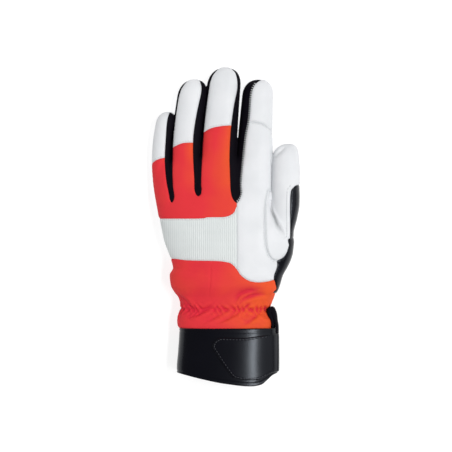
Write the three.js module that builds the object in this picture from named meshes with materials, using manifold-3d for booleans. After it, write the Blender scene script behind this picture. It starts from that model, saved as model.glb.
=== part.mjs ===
// A left-hand work glove lying palm down: leather palm and thumb, cloth back, gathered cloth cuff,
// and a leather band with a closing tab at the mouth. Millimetres, +Z up, fingers towards +Y, thumb
// towards +X. Every sewn panel is its own closed wall, with a seam gap to its neighbours.
import * as THREE from "three";
import { mergeVertices } from "three/addons/utils/BufferGeometryUtils.js";
import Module from "manifold-3d";

// Driving sizes
const wall = 1.5;
const seamGap = 0.3;
const palmRise = 8;
const handLength = 72.2;
const handHeight = 36;
const thumbLength = 93.4;
const thumbWidth = 24.2;
const thumbHeight = 25;
const thumbClearance = 0.5;
const sleeveLength = 60.7;
const sleeveWidth = 81;
const sleeveHeight = 35;
const sleeveShift = 11.9;
const gatherDepth = 0.9;
const gatherCount = 16;
const bandFlare = 7.5; // how much wider the band is than the cuff
const bandLength = 49.5;
const bandHeight = 38.5;
const bandShift = 2.3;
const bandOverlap = 2.1; // how far the band reaches over the cuff's own length
const tabThickness = 1.8;
const loopThickness = 1.6;
const loopWidth = 11;
const loopHeight = 18.75;

// Fingers: sizes in millimetres, then lean and bow as shares of the length, tip width as a share of
// the width, and the round end as a share of the width
const fingers = {
  little: { width: 15.2, length: 60.3, height: 18, lean: 0.082, bow: -0.047, taper: 1.0, dome: 0.64 },
  ring: { width: 24.6, length: 88.9, height: 21, lean: 0.099, bow: -0.025, taper: 1.0, dome: 0.61 },
  middle: { width: 32.0, length: 99.4, height: 23.5, lean: 0.077, bow: -0.008, taper: 0.9, dome: 0.55 },
  index: { width: 32.0, length: 88.9, height: 22.5, lean: 0.054, bow: -0.005, taper: 0.8, dome: 0.47 },
};
const order = ["little", "ring", "middle", "index"];
const taperEnd = 0.85; // where a finger has its tip width, as a share of its length
const fingerStart = 0.45; // how far back in the hand a finger's tube starts, as a share of its length

// Hand from the finger line towards the wrist: shares of the hand's length, half width and height
const handRows = [
  { at: -0.1, left: -0.9, right: 0.92, top: 0.42 },
  { at: -0.07, left: -0.96, right: 0.955, top: 0.56 },
  { at: 0.03, left: -0.985, right: 0.985, top: 0.66 },
  { at: 0.24, left: -0.953, right: 0.988, top: 0.84 },
  { at: 0.46, left: -0.897, right: 1.076, top: 0.95 },
  { at: 0.63, left: -0.843, right: 1.245, top: 1.0 },
  { at: 0.77, left: -0.8, right: 1.343, top: 1.0 },
  { at: 0.87, left: -0.75, right: 1.335, top: 0.99 },
  { at: 0.96, left: -0.7, right: 1.301, top: 0.98 },
];

// Cuff from the wrist towards the mouth: shares of the sleeve's length, half width and height, the
// share of the gathers' depth, and how far the tucked end is raised, as a share of the band's floor
const sleeveRows = [
  { at: -0.1, left: -1.225, right: 1.4, top: 1.01, folds: 0, raised: 0 },
  { at: 0.083, left: -1.132, right: 1.318, top: 1.0, folds: 0.5, raised: 0 },
  { at: 0.188, left: -1.214, right: 1.242, top: 1.02, folds: 0.8, raised: 0 },
  { at: 0.333, left: -1.184, right: 1.173, top: 1.0, folds: 1.0, raised: 0 },
  { at: 0.42, left: -1.105, right: 1.121, top: 0.96, folds: 1.0, raised: 0 },
  { at: 0.507, left: -1.0, right: 1.014, top: 0.91, folds: 0.8, raised: 0 },
  { at: 0.623, left: -0.966, right: 0.953, top: 0.87, folds: 0.5, raised: 0 },
  { at: 0.725, left: -1.001, right: 0.888, top: 0.85, folds: 1.0, raised: 0 },
  { at: 0.841, left: -1.036, right: 0.982, top: 0.93, folds: 0.7, raised: 0 },
  { at: 0.91, left: -1.02, right: 0.985, top: 0.95, folds: 0.4, raised: 0.4 },
  { at: 0.955, left: -0.935, right: 0.968, top: 0.985, folds: 0, raised: 1.2 },
  { at: 1.0, left: -0.95, right: 1.045, top: 0.985, folds: 0, raised: 1.2 },
  { at: 1.08, left: -0.95, right: 1.045, top: 0.985, folds: 0, raised: 1.2 },
];

// Band from the sleeve to the mouth: shares of the band's length, half width and height
const bandRows = [
  { at: 0, left: -0.98, right: 0.965, top: 0.96 },
  { at: 0.4, left: -1.005, right: 0.97, top: 1.0 },
  { at: 0.7, left: -1.03, right: 0.975, top: 1.0 },
  { at: 0.88, left: -1.02, right: 0.975, top: 1.0 },
  { at: 1.06, left: -0.99, right: 0.97, top: 0.98 },
];

// Mouth's edge, left to right: share of the half width across, share of the band's length down
const mouthLine = [
  { across: -1.1, at: 0.765 },
  { across: -0.95, at: 0.79 },
  { across: -0.5, at: 0.88 },
  { across: -0.06, at: 0.955 },
  { across: 0.45, at: 1.0 },
  { across: 0.64, at: 0.975 },
  { across: 0.77, at: 0.89 },
  { across: 0.88, at: 0.81 },
  { across: 1.1, at: 0.75 },
];

const mouthCorners = [
  { across: 1.3, at: -0.3 },
  { across: -1.3, at: -0.3 },
];

// Closing tab's outline: shares of the band's half width and length
const tabOutline = [
  { across: 1.2, at: 0.06 },
  { across: 0.9, at: 0.085 },
  { across: 0.6, at: 0.115 },
  { across: 0.26, at: 0.145 },
  { across: -0.12, at: 0.14 },
  { across: -0.25, at: 0.18 },
  { across: -0.315, at: 0.29 },
  { across: -0.22, at: 0.43 },
  { across: -0.08, at: 0.64 },
  { across: 0.06, at: 0.8 },
  { across: 0.16, at: 0.85 },
  { across: 0.36, at: 0.87 },
  { across: 0.64, at: 0.86 },
  { across: 0.86, at: 0.74 },
  { across: 1.2, at: 0.72 },
];

// Thumb from its root: share of its length up, its left edge as a share of the hand's half width
// plus a share of the thumb's width, and its width and height as shares
const thumbRows = [
  { at: 0, edge: 0.84, inset: 0, wide: 1.0, top: 1.0 },
  { at: 0.19, edge: 0.91, inset: 0, wide: 1.0, top: 1.02 },
  { at: 0.3, edge: 0.961, inset: 0, wide: 1.0, top: 1.03 },
  { at: 0.44, edge: 1.0, inset: 0, wide: 1.0, top: 1.02 },
  { at: 0.6, edge: 1.0, inset: 0, wide: 1.0, top: 1.0 },
  { at: 0.745, edge: 1.0, inset: 0.015, wide: 0.965, top: 0.96 },
  { at: 0.877, edge: 1.0, inset: 0.045, wide: 0.91, top: 0.88 },
  { at: 0.943, edge: 1.0, inset: 0.15, wide: 0.74, top: 0.78 },
  { at: 0.98, edge: 1.0, inset: 0.34, wide: 0.48, top: 0.68 },
  { at: 1.0, edge: 1.0, inset: 0.52, wide: 0.14, top: 0.55 },
];
const thumbRoot = 0.854; // the thumb's root, as a share of the hand's length
const thumbTip = 0.9; // where the thumb's underside starts to rise, as a share of its length
const thumbLift = 0.135; // the tip's underside over the surface, as a share of the thumb's height

// Finger's tube: places as shares of its length, and the round end's rows as shares of a quarter turn
const tubeRows = [-fingerStart, -0.2, 0, 0.25, 0.5, 0.75];
const roundRows = [0, 0.45, 0.75, 1];
const tipDrop = 0.18; // how much lower a finger is at its tip, as a share of its height
const tipFlat = 0.18; // a finger's flat end, as a share of its width
const tipRise = 0.75; // how far the round end's last section keeps off the surface and off the top
const leastHollow = 1.4; // the hollow's smallest section, in walls

const past = 1; // how far the hollow of the cuff or the band reaches past its open ends
const mergeWithin = 1e-4; // corners closer than this are one
const sharpest = 0.35; // keeps the corners of a moved outline short

// Seams beside the strips between the fingers: a right one runs up to the tip and a left one back
// from it. Shares of the finger's length and half width
const fingerSeams = {
  littleRight: [[0, 0.48], [0.25, 0.43], [0.58, 0.4], [0.85, 0.2], [1.0, 0.2]],
  ringLeft: [[1.0, -0.45], [0.95, -0.68], [0.88, -0.87], [0.75, -0.93], [0.4, -0.955], [0, -0.86]],
  ringRight: [[0, 0.69], [0.25, 0.56], [0.45, 0.49], [0.67, 0.56], [0.89, 0.64], [1.0, 0.35]],
  middleLeft: [[1.0, -0.35], [0.96, -0.6], [0.9, -0.8], [0.78, -0.89], [0.42, -0.94], [0, -0.86]],
  middleRight: [[0, 0.73], [0.2, 0.65], [0.44, 0.64], [0.65, 0.73], [0.82, 0.86], [0.94, 0.68], [1.0, 0.3]],
  indexLeft: [[1.0, 0.2], [0.95, -0.2], [0.85, -0.42], [0.6, -0.43], [0.4, -0.56], [0, -0.64]],
};

// The strips' round lower ends, right to left: shares of the hand's length and half width
const stripEnds = {
  little: [[0.195, -0.643], [0.243, -0.653], [0.275, -0.687], [0.24, -0.72], [0.18, -0.735]],
  ring: [[0.11, -0.182], [0.17, -0.193], [0.198, -0.236], [0.17, -0.28], [0.11, -0.303]],
  middle: [[0.16, 0.5], [0.235, 0.465], [0.277, 0.41], [0.23, 0.344], [0.14, 0.31]],
};

// Seams of the finger caps, left to right: shares of the finger's length and half width
const capSeams = {
  little: [[0.24, -1.2], [0.296, -0.47], [0.324, 0.38], [0.33, 1.15]],
  ring: [[0.31, -1.12], [0.351, -0.52], [0.366, -0.1], [0.369, 0.49], [0.37, 1.07]],
  middle: [[0.41, -1.07], [0.448, -0.65], [0.465, -0.31], [0.478, 0.25], [0.485, 1.07]],
  index: [[0.585, -1.1], [0.577, -0.43], [0.554, 0.39], [0.503, 0.9], [0.46, 1.35]],
};

// Seams on the hand, left to right: shares of the hand's length down and half width across
const knuckleSeam = [
  [0.471, -1.4], [0.47, -0.285], [0.455, -0.074], [0.451, 0.175],
  [0.435, 0.281], [0.399, 0.359], [0.349, 0.393], [0.293, 0.413],
];
const wristSeam = [
  [0.95, -1.4], [0.959, -0.699], [0.976, -0.439], [0.983, 0.021], [0.99, 0.175], [1.015, 0.314],
  [1.08, 0.407], [1.159, 0.483], [1.22, 0.606], [1.244, 0.76], [1.232, 0.944], [1.216, 1.039],
  [1.271, 1.071], [1.326, 1.085], [1.384, 1.068], [1.4, 1.6],
];
const thumbSeam = [
  [-0.55, 1.0], [0.09, 1.0], [0.13, 0.945], [0.366, 0.89], [0.768, 0.899],
  [0.935, 0.975], [0.983, 1.093], [0.951, 1.178], [0.898, 1.243], [0.805, 1.292],
];
const stripSeam = [
  [0.707, 1.313], [0.61, 1.318], [0.305, 1.313], [0.146, 1.325], [0.1, 1.363], [0.061, 1.45], [0.05, 1.7],
];
const heelSeam = [
  [0.707, 1.7], [0.707, 1.313], [0.805, 1.292], [0.898, 1.243], [0.951, 1.178], [0.983, 1.093],
  [1.022, 1.096], [1.077, 1.083], [1.154, 1.044], [1.216, 1.039],
];

// Corners that close these outlines outside the glove or on cloth that is already cut away
const heelCorners = [[1.6, 1.039], [1.6, 1.7]];
const stripCorner = [0.707, 1.7];
const thumbCorners = [[0.707, 1.313], [0.707, 3], [-0.55, 3]];
const indexEdge = [[0.8, -1.02], [0.5, -1.02], [0.2, -1.02], [0, -1.02]]; // on the finger, not the hand
const indexCorners = [[1.5, 0.413], [1.5, 3], [-0.8, 3]];
const ribCorners = [[1.5, 0.413], [1.5, -1.4]];

// Colours, roughness and metalness
const looks = {
  white_leather: { color: 0xe6e9ec, roughness: 0.6, metalness: 0 },
  orange_cloth: { color: 0xea4a35, roughness: 0.85, metalness: 0 },
  white_knit: { color: 0xd8dfdd, roughness: 0.9, metalness: 0 },
  black_cloth: { color: 0x17131c, roughness: 0.9, metalness: 0 },
  black_leather: { color: 0x18161e, roughness: 0.42, metalness: 0 },
};

// Form of the sections
const sectionBend = 0.86; // how square they are: 1 is an ellipse
const widest = 0.45; // height of the widest line, as a share of the section's height
const restDip = 0.14; // how much of a section the surface flattens, as a share of its height

// How many sides the sections have: of each wall's outside, and of the hollow in it
const sides = {
  hand: { outside: 32, hollow: 22 },
  finger: { outside: 14, hollow: 10 },
  sleeve: { outside: gatherCount * 4, hollow: 20 },
  band: { outside: 40, hollow: 32 },
};

const wasm = await Module();
wasm.setup();

// Worked-out sizes
const handHalf = order.reduce((sum, name) => sum + fingers[name].width, 0) / 2;
const sleeveStart = -handLength;
const bandStart = sleeveStart - sleeveLength + bandOverlap;
const bandWidth = sleeveWidth + bandFlare;
const bandCentre = sleeveShift + bandShift;
order.reduce((left, name) => {
  fingers[name].root = left + fingers[name].width / 2;
  return left + fingers[name].width;
}, -handHalf);

// A closed mesh as a solid for joining and cutting
function solidOf(geometry) {
  geometry.deleteAttribute("normal");
  geometry.deleteAttribute("uv");
  const merged = mergeVertices(geometry, mergeWithin);
  return new wasm.Manifold(
    new wasm.Mesh({
      numProp: 3,
      vertProperties: merged.attributes.position.array,
      triVerts: new Uint32Array(merged.index.array),
    }),
  );
}

// Rings of equal count, joined into one closed tube that runs towards -Y
function loft(rings) {
  const count = rings[0].length;
  const points = rings.flat();
  const index = [];
  for (let r = 0; r + 1 < rings.length; r++) {
    for (let k = 0; k < count; k++) {
      const a = r * count + k;
      const b = r * count + ((k + 1) % count);
      index.push(a, b, a + count, b, b + count, a + count);
    }
  }
  const last = (rings.length - 1) * count;
  for (let k = 1; k + 1 < count; k++) {
    index.push(0, k + 1, k);
    index.push(last, last + k, last + k + 1);
  }
  const geometry = new THREE.BufferGeometry();
  geometry.setAttribute("position", new THREE.Float32BufferAttribute(points.flat(), 3));
  geometry.setIndex(index);
  return solidOf(geometry);
}

// One section across Y: a rounded shape flattened on the resting surface. fold moves a point out.
function ring({ y, left, right, top, floor = 0 }, count, inset = 0, fold = () => 0) {
  const middle = (left + right) / 2;
  const half = (right - left) / 2 - inset;
  const waist = floor + (top - floor) * widest;
  const dip = (top - floor) * restDip;
  const corner = Math.cos(Math.PI / count) ** sectionBend;
  const points = [];
  for (let k = 0; k < count; k++) {
    const angle = (2 * Math.PI * (k + 0.5)) / count;
    const c = Math.cos(angle);
    const s = Math.sin(angle);
    const out = fold(angle, y);
    const reach = s > 0 ? top - inset - waist : waist - floor + dip - inset;
    const x = middle + Math.sign(c) * Math.abs(c) ** sectionBend * ((half + out) / corner);
    const z = waist + Math.sign(s) * Math.abs(s) ** sectionBend * (reach + (s > 0 ? out : 0));
    points.push([x, y, Math.max(z, floor + inset)]);
  }
  return points;
}

function centreOf(f, t) {
  return f.root + f.length * (f.lean * t + f.bow * 4 * t * (1 - t));
}

function spreadOf(f, t) {
  return (f.width / 2) * (1 + (f.taper - 1) * THREE.MathUtils.clamp(t / taperEnd, 0, 1));
}

// A finger's tube, from inside the hand to its round tip; inset makes the hollow
function fingerTube(f, count, inset) {
  const domeShare = (f.dome * f.width) / f.length;
  const rows = tubeRows.filter((t) => t < 1 - domeShare).map((t) => ({ t, share: 1 }));
  for (const turn of roundRows) {
    const angle = (turn * Math.PI) / 2;
    rows.push({
      t: 1 - domeShare * (1 - Math.sin(angle)) - (inset / f.length) * turn,
      share: Math.max(Math.cos(angle) ** sectionBend, tipFlat),
    });
  }
  const rings = rows.reverse().map(({ t, share }) => {
    const centre = centreOf(f, t);
    const half = Math.max(spreadOf(f, t) * share, inset * leastHollow);
    const tall = f.height * (1 - tipDrop * THREE.MathUtils.clamp(t, 0, 1));
    const waist = tall * widest;
    const cut = (1 - share) * tipRise;
    return ring(
      {
        y: t * f.length,
        left: centre - half,
        right: centre + half,
        top: Math.max(waist + (tall - waist) * (1 - cut), waist + inset * leastHollow),
        floor: waist * cut,
      },
      count,
      inset,
    );
  });
  return loft(rings);
}

function thumbTube(count, inset) {
  const base = -thumbRoot * handLength;
  const rings = [...thumbRows].reverse().map(({ at, edge, inset: shift, wide, top }) => {
    const left = edge * handHalf + thumbClearance + shift * thumbWidth;
    const tip = Math.max((at - thumbTip) / (1 - thumbTip), 0);
    return ring(
      {
        y: base + at * thumbLength - tip * inset,
        left,
        right: left + Math.max(wide * thumbWidth, 2 * inset * leastHollow),
        top: top * thumbHeight,
        floor: tip * thumbLift * thumbHeight,
      },
      count,
      inset,
    );
  });
  return loft(rings);
}

function handSections() {
  return handRows.map((r) => ({
    y: -r.at * handLength,
    left: r.left * handHalf,
    right: r.right * handHalf,
    top: r.top * handHeight,
  }));
}

function sleeveSections() {
  return sleeveRows.map((r) => ({
    y: sleeveStart - r.at * sleeveLength,
    left: sleeveShift + (r.left * sleeveWidth) / 2,
    right: sleeveShift + (r.right * sleeveWidth) / 2,
    top: r.top * sleeveHeight,
    floor: r.raised * (wall + seamGap),
    folds: r.folds,
  }));
}

function bandSections(extra = 0) {
  return bandRows.map((r) => ({
    y: bandStart - r.at * bandLength,
    left: bandCentre + (r.left * bandWidth) / 2 - extra,
    right: bandCentre + (r.right * bandWidth) / 2 + extra,
    top: r.top * bandHeight + extra,
  }));
}

// Sections of a hollow, made longer so that it opens both ends of its wall
function pastEnds(sections) {
  sections[0].y += past;
  sections.at(-1).y -= past;
  return sections;
}

function tube(sections, count, inset, fold) {
  return loft(sections.map((section) => ring(section, count, inset, fold && fold(section))));
}

// Gathers: ridges round the cuff that slant and fade from section to section
const slant = 0.035; // turn of the ridges round the cuff over each millimetre of its length
function gathers(section) {
  const half = (gatherDepth * section.folds) / 2;
  return (angle, y) => half * (Math.sin((angle + y * slant) * gatherCount) - 1);
}

// Points of a seam
function onFinger(f) {
  return ([t, across]) => new THREE.Vector2(centreOf(f, t) + across * spreadOf(f, t), t * f.length);
}

function onHand([at, across]) {
  return new THREE.Vector2(across * handHalf, -at * handLength);
}

function onBand({ across, at }) {
  const x = bandCentre + (across * bandWidth) / 2;
  return new THREE.Vector2(x, bandStart - at * bandLength);
}

function smooth(points, perSpan = 2) {
  return new THREE.SplineCurve(points).getPoints((points.length - 1) * perSpan);
}

// Moves a closed outline outwards by a distance
function grown(outline, distance) {
  const points = THREE.ShapeUtils.isClockWise(outline) ? [...outline].reverse() : outline;
  const count = points.length;
  const normal = (a, b) => new THREE.Vector2(b.y - a.y, a.x - b.x).normalize();
  return points.map((p, i) => {
    const before = normal(points[(i + count - 1) % count], p);
    const after = normal(p, points[(i + 1) % count]);
    const mitre = before.clone().add(after).divideScalar(Math.max(1 + before.dot(after), sharpest));
    return p.clone().addScaledVector(mitre, distance);
  });
}

// A tall prism over an outline, from one height to another; by default it goes through the glove
const reachUp = 2 * handHeight;
const reachDown = -handHeight;
function prism(outline, low = reachDown, high = reachUp) {
  const geometry = new THREE.ExtrudeGeometry(new THREE.Shape(outline), {
    depth: high - low,
    bevelEnabled: false,
    steps: 1,
  });
  geometry.translate(0, 0, low);
  return solidOf(geometry);
}

// The main body of a cut piece; thin slivers at a seam's end fall away with the waste
function mainBody(solid) {
  return solid.decompose().reduce((best, body) => (body.volume() > best.volume() ? body : best));
}

// Cuts a panel out along an outline and leaves the seam gap around it
function cutOut(cloth, outline) {
  return [mainBody(cloth.intersect(prism(outline))), cloth.subtract(prism(grown(outline, seamGap)))];
}

const far = 3; // an outline's outer corners, in hand lengths and half widths
function handRegion(seam, corners) {
  return [...smooth(seam.map(onHand), 1), ...corners.map(onHand)];
}

// The glove's cloth from fingertips to wrist, before it is cut into panels. It takes some of the
// cuff's first rows with it, so that both meet at the wrist seam.
const sharedRows = [1, 6];
function gloveCloth() {
  const shared = [...handSections(), ...sleeveSections().slice(...sharedRows)];
  const { hand, finger } = sides;
  const outside = [tube(shared, hand.outside, 0), thumbTube(finger.outside, 0)];
  const inside = [tube(shared, hand.hollow, wall), thumbTube(finger.hollow, wall)];
  for (const name of order) {
    outside.push(fingerTube(fingers[name], finger.outside, 0));
    inside.push(fingerTube(fingers[name], finger.hollow, wall));
  }
  const join = (a, b) => a.add(b);
  return outside.reduce(join).subtract(inside.reduce(join));
}

function sleeveCloth() {
  const outside = tube(sleeveSections(), sides.sleeve.outside, 0, gathers);
  const hollow = pastEnds(sleeveSections());
  return outside.subtract(tube(hollow, sides.sleeve.hollow, wall + gatherDepth / 2));
}

// A strip between two fingers: round its lower end, up one finger's seam, past the tips and down the
// other finger's seam
const pastTips = { left: [1.08, 0.5], longer: [1.06, -1.1], shorter: [1.1, 0.1] };
function stripOutline(left, right, leftSeam, rightSeam, end) {
  const up = smooth([...end.map(onHand), ...fingerSeams[leftSeam].map(onFinger(left))]);
  const down = smooth([...fingerSeams[rightSeam].map(onFinger(right)), onHand(end[0])]);
  const over = right.length > left.length ? pastTips.longer : pastTips.shorter;
  return [...up, onFinger(left)(pastTips.left), onFinger(right)(over), ...down.slice(0, -1)];
}

// A cap's outline goes past the fingertip: shares of the finger's length and of the seam's edge
const capSides = [[0.6, 1], [0.85, 0.9], [1.03, 0.5]];

function capOutline(name) {
  const point = onFinger(fingers[name]);
  const seam = smooth(capSeams[name].map(point));
  const leftEdge = capSeams[name][0][1];
  const rightEdge = capSeams[name].at(-1)[1];
  const right = capSides.map(([t, share]) => point([t, rightEdge * share]));
  const left = capSides.map(([t, share]) => point([t, leftEdge * Math.cbrt(share)])).reverse();
  return [...seam, ...right, ...left];
}

function buildPanels() {
  const panels = {};
  const wrist = handRegion(wristSeam, [[-far, far], [-far, -far]]);
  panels.sleeve = mainBody(sleeveCloth().subtract(prism(grown(wrist, seamGap))));

  let rest = gloveCloth().intersect(prism(wrist));
  [panels.heel_gusset, rest] = cutOut(rest, [...smooth(heelSeam.map(onHand)), ...heelCorners.map(onHand)]);
  [panels.thumb_strip, rest] = cutOut(rest, [...smooth(stripSeam.map(onHand)), onHand(stripCorner)]);
  [panels.thumb, rest] = cutOut(rest, [...smooth(thumbSeam.map(onHand)), ...thumbCorners.map(onHand)]);

  const everywhere = [[-far, -far], [far, -far], [far, far], [-far, far]].map(onHand);
  panels.palm = mainBody(rest.intersect(prism(everywhere, reachDown, palmRise)));
  rest = rest.intersect(prism(everywhere, palmRise + seamGap, reachUp));

  const { little, ring: ringFinger, middle, index } = fingers;
  const strips = [
    ["little_fourchette", little, ringFinger, "littleRight", "ringLeft", stripEnds.little],
    ["ring_fourchette", ringFinger, middle, "ringRight", "middleLeft", stripEnds.ring],
    ["middle_fourchette", middle, index, "middleRight", "indexLeft", stripEnds.middle],
  ];
  for (const [name, ...outline] of strips) {
    [panels[name], rest] = cutOut(rest, stripOutline(...outline));
  }

  for (const name of order) {
    [panels[name + "_cap"], rest] = cutOut(rest, capOutline(name));
  }
  [panels.index_panel, rest] = cutOut(rest, [
    ...indexEdge.map(onFinger(index)),
    ...stripEnds.middle.slice(0, 3).map(onHand),
    ...indexCorners.map(onHand),
  ]);
  [panels.rib_band, rest] = cutOut(rest, handRegion(knuckleSeam, ribCorners));
  panels.knuckle_panel = mainBody(rest);
  return panels;
}

// Mouth band, its closing tab and the pull loop
function buildBand() {
  const { outside, hollow } = sides.band;
  const aboveMouth = [...smooth(mouthLine.map(onBand)), ...mouthCorners.map(onBand)];
  const band = tube(bandSections(), outside, 0)
    .subtract(tube(pastEnds(bandSections()), hollow, wall))
    .intersect(prism(aboveMouth));

  const tab = tube(bandSections(seamGap + tabThickness), outside, 0)
    .subtract(tube(pastEnds(bandSections(seamGap)), outside, 0))
    .intersect(prism(smooth(tabOutline.map(onBand), 1), palmRise, reachUp));
  return { cuff_band: mainBody(band), strap_tab: mainBody(tab) };
}

// The loop's middle line beside the cuff: how far up from the band and how far left of the band's
// right edge, as shares of the loop's height
const loopLine = [
  [0, 0.061], [0.166, 0.067], [0.445, 0.1], [0.779, 0.19], [0.99, 0.312], [0.924, 0.446],
  [0.746, 0.49], [0.577, 0.396], [0.4, 0.312], [0.166, 0.29], [0, 0.284],
];
function onLoop([up, left]) {
  const x = bandCentre + bandWidth / 2 - left * loopHeight;
  return new THREE.Vector2(x, bandStart + seamGap + up * loopHeight);
}

// A line moved sideways by a distance, to its right or, below zero, to its left
function beside(line, distance) {
  return line.map((p, i) => {
    const a = line[Math.max(i - 1, 0)];
    const b = line[Math.min(i + 1, line.length - 1)];
    const along = b.clone().sub(a).normalize();
    return new THREE.Vector2(p.x + along.y * distance, p.y - along.x * distance);
  });
}

function buildLoop() {
  const line = smooth(loopLine.map(onLoop));
  const outline = [...beside(line, loopThickness / 2), ...beside(line, -loopThickness / 2).reverse()];
  const low = bandHeight * widest - loopWidth / 2;
  return { pull_loop: prism(outline, low, low + loopWidth) };
}

// Which look each piece has
const pieces = {
  palm: "white_leather",
  thumb: "white_leather",
  thumb_strip: "black_leather",
  heel_gusset: "black_leather",
  knuckle_panel: "orange_cloth",
  rib_band: "white_knit",
  index_panel: "white_leather",
  little_cap: "white_leather",
  ring_cap: "white_leather",
  middle_cap: "white_leather",
  index_cap: "white_leather",
  little_fourchette: "black_cloth",
  ring_fourchette: "black_cloth",
  middle_fourchette: "black_cloth",
  sleeve: "orange_cloth",
  cuff_band: "black_leather",
  strap_tab: "black_leather",
  pull_loop: "black_cloth",
};

function meshOf(name, solid) {
  const { vertProperties, triVerts } = solid.getMesh();
  const geometry = new THREE.BufferGeometry();
  geometry.setAttribute("position", new THREE.Float32BufferAttribute(vertProperties, 3));
  geometry.setIndex(new THREE.Uint32BufferAttribute(triVerts, 1));
  geometry.computeVertexNormals();
  const mesh = new THREE.Mesh(geometry, new THREE.MeshStandardMaterial(looks[pieces[name]]));
  mesh.name = name;
  return mesh;
}

const solids = { ...buildPanels(), ...buildBand(), ...buildLoop() };
const glove = new THREE.Group();
for (const name of Object.keys(pieces)) {
  glove.add(meshOf(name, solids[name]));
}

// The origin is under the middle of the glove, on the surface that it lies on
const box = new THREE.Box3().setFromObject(glove);
const centre = box.getCenter(new THREE.Vector3());
glove.position.set(-centre.x, -centre.y, -box.min.z);

export default glove;
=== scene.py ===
"""The looks of a left-hand work glove lying palm down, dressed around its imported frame.

Shapes are worked out in millimetres in the hand's own frame: x = 0 on the hand's middle line, y = 0 at
the line where the fingers start, z = 0 on the surface. Tables hold shares of the named sizes."""
import math

import bpy
import numpy as np
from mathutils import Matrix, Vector
from mathutils.bvhtree import BVHTree
from mathutils.kdtree import KDTree


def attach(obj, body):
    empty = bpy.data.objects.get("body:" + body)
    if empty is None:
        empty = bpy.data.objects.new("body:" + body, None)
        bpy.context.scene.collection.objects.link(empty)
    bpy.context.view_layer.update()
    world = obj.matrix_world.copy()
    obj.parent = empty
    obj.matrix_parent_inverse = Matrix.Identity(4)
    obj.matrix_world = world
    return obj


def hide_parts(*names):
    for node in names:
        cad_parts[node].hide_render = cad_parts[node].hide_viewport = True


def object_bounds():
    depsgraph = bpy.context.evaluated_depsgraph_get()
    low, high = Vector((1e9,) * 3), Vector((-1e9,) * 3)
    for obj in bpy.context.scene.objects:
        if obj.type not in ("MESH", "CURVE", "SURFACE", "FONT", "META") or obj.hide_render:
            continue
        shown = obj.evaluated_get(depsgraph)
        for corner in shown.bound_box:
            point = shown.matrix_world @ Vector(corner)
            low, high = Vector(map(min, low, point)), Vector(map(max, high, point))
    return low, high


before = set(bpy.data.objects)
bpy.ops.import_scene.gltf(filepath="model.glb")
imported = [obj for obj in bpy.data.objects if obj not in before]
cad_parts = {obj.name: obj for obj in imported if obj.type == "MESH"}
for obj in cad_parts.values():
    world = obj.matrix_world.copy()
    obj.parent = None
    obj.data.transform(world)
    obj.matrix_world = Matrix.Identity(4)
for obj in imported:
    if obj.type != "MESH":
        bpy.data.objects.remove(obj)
cad_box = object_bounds()

# Driving sizes, in millimetres
MM = 0.001
STEP = 0.8  # spacing of the cloth's mesh
CLOTH = 1.3  # thickness of cloth and leather
PALM_RISE = 8.0
HAND_LENGTH, HAND_HEIGHT = 72.2, 36.0
THUMB_LENGTH, THUMB_WIDTH, THUMB_HEIGHT = 93.4, 24.2, 25.0
THUMB_CLEARANCE = 0.5
THUMB_ROOT = 0.854
SLEEVE_LENGTH, SLEEVE_WIDTH, SLEEVE_HEIGHT = 60.7, 81.0, 35.0
SLEEVE_SHIFT = 11.9
BAND_WIDTH, BAND_LENGTH, BAND_HEIGHT = 88.5, 49.5, 38.5
BAND_CENTRE = SLEEVE_SHIFT + 2.3
BAND_START = -HAND_LENGTH - SLEEVE_LENGTH + 2.1
TUCK = 6.0  # how far the sleeve reaches into the band
FLOOR = 1.8  # the tucked end's height over the surface
BEND = 2.33  # how square the sections are: 2 is an ellipse
WIDEST = 0.45  # height of a section's widest line, as a share
DIP = 0.14  # how much of a section the surface flattens
TOUCH = 0.6  # how much wider the filled fingers are than their patterns
TAPER_END = 0.85  # share of a finger's length over which it narrows
FINGER_ROOT = 0.45  # how far a finger reaches back into the hand, as a share of its length
FINGER_DROP = 0.18  # how much lower a finger gets towards its tip
ROOT_END, THUMB_ROOT_END = 8.0, 12.0  # lengths of the rounded ends inside the hand
CROTCH = -0.28 * HAND_LENGTH  # where the thumb leaves the hand

# Fillets where parts meet, in millimetres: the least, and how much more there is further in
FINGER_FILLET = 0.8
HAND_FILLET = (2.0, 7.0)
THUMB_FILLET = (3.4, 5.6)
REST_FILLET, REST_DEPTH = 2.4, 4.0  # where the surface flattens the leather

FINGERS = {
    "little": dict(width=15.2, length=60.3, height=18.0, lean=0.082, bow=-0.047, taper=1.0, dome=0.64),
    "ring": dict(width=24.6, length=88.9, height=21.0, lean=0.099, bow=-0.025, taper=1.0, dome=0.61),
    "middle": dict(width=32.0, length=99.4, height=23.5, lean=0.077, bow=-0.008, taper=0.9, dome=0.55),
    "index": dict(width=32.0, length=88.9, height=22.5, lean=0.054, bow=-0.005, taper=0.8, dome=0.47),
}
HAND_HALF = sum(f["width"] for f in FINGERS.values()) / 2
left = -HAND_HALF
for f in FINGERS.values():
    f["root"] = left + f["width"] / 2
    left += f["width"]

# The hand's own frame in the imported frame
SHIFT = np.array([-11.905, cad_box[1][1] / MM - FINGERS["middle"]["length"], 0.0])

# Hand: at (share of its length down), left and right (of its half width), top (of its height)
HAND_ROWS = [
    (0.03, -0.985, 0.985, 0.66),
    (0.24, -0.953, 0.988, 0.84),
    (0.46, -0.897, 1.076, 0.95),
    (0.63, -0.843, 1.245, 1.0),
    (0.77, -0.8, 1.343, 1.0),
    (0.87, -0.75, 1.335, 0.99),
    (0.96, -0.7, 1.301, 0.98),
]
HAND_END = 0.3  # length of the hand's rounded end between the fingers

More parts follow.
